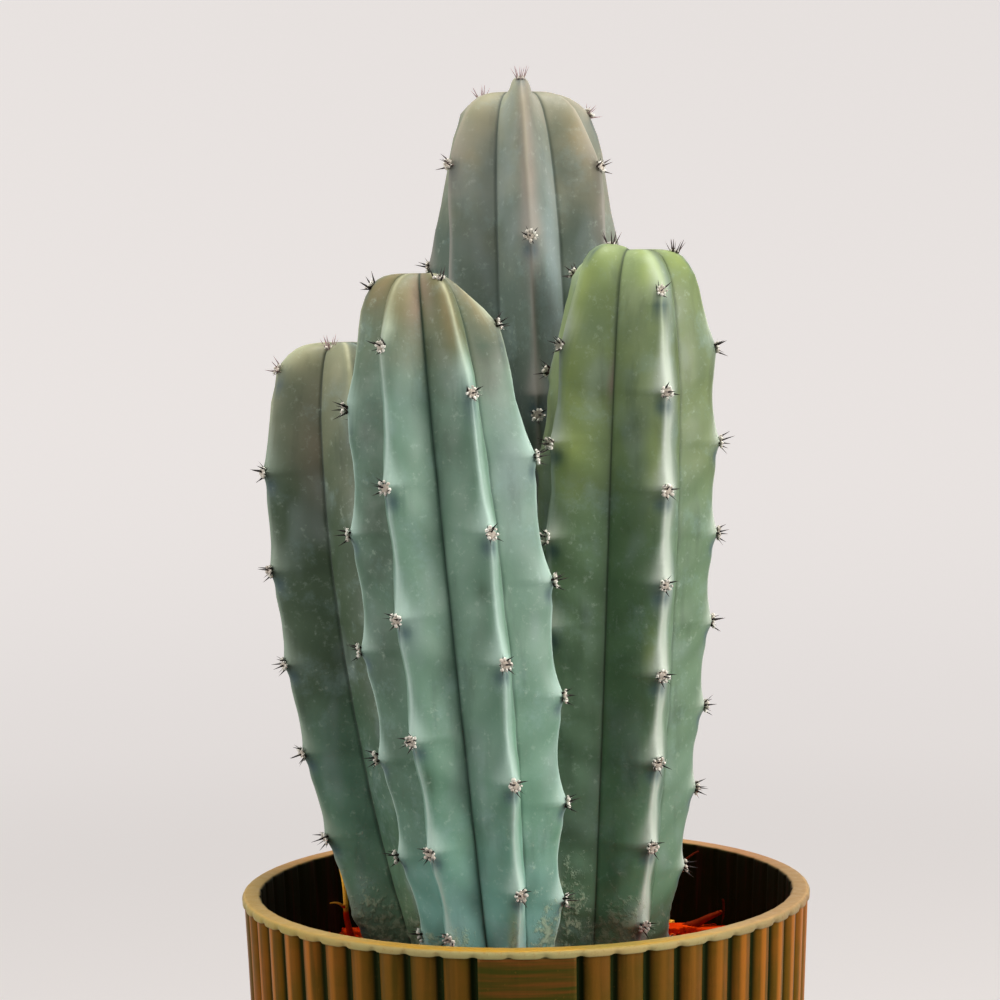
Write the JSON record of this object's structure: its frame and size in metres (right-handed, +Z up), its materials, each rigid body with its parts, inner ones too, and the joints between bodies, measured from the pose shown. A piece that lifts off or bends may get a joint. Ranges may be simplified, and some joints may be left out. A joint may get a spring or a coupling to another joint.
{
  "type": "potted blue myrtle cactus",
  "caption": "Columnar blue-green cactus with ribbed, spiny stems standing in soil in a round brown pot with upright flutes and a cream lip.",
  "frame": {"origin": "middle of the pot's flat base, on the surface that it stands on", "axes": "+Z up along the stems, -Y towards the plaque on the pot's front, +X to the right seen from the front"},
  "size_m": [0.18, 0.1826, 0.4266],
  "materials": {
    "pot_glaze": "satin",
    "soil_mix": "matte",
    "stem_skin_blue": "satin",
    "stem_skin_green": "satin",
    "stem_skin_grey": "satin"
  },
  "bodies": {
    "root": {"pot": "pot_glaze", "soil": "soil_mix", "stem_front": "stem_skin_blue", "stem_right": "stem_skin_green", "stem_left": "stem_skin_blue", "stem_back": "stem_skin_grey"}
  },
  "joints": []
}
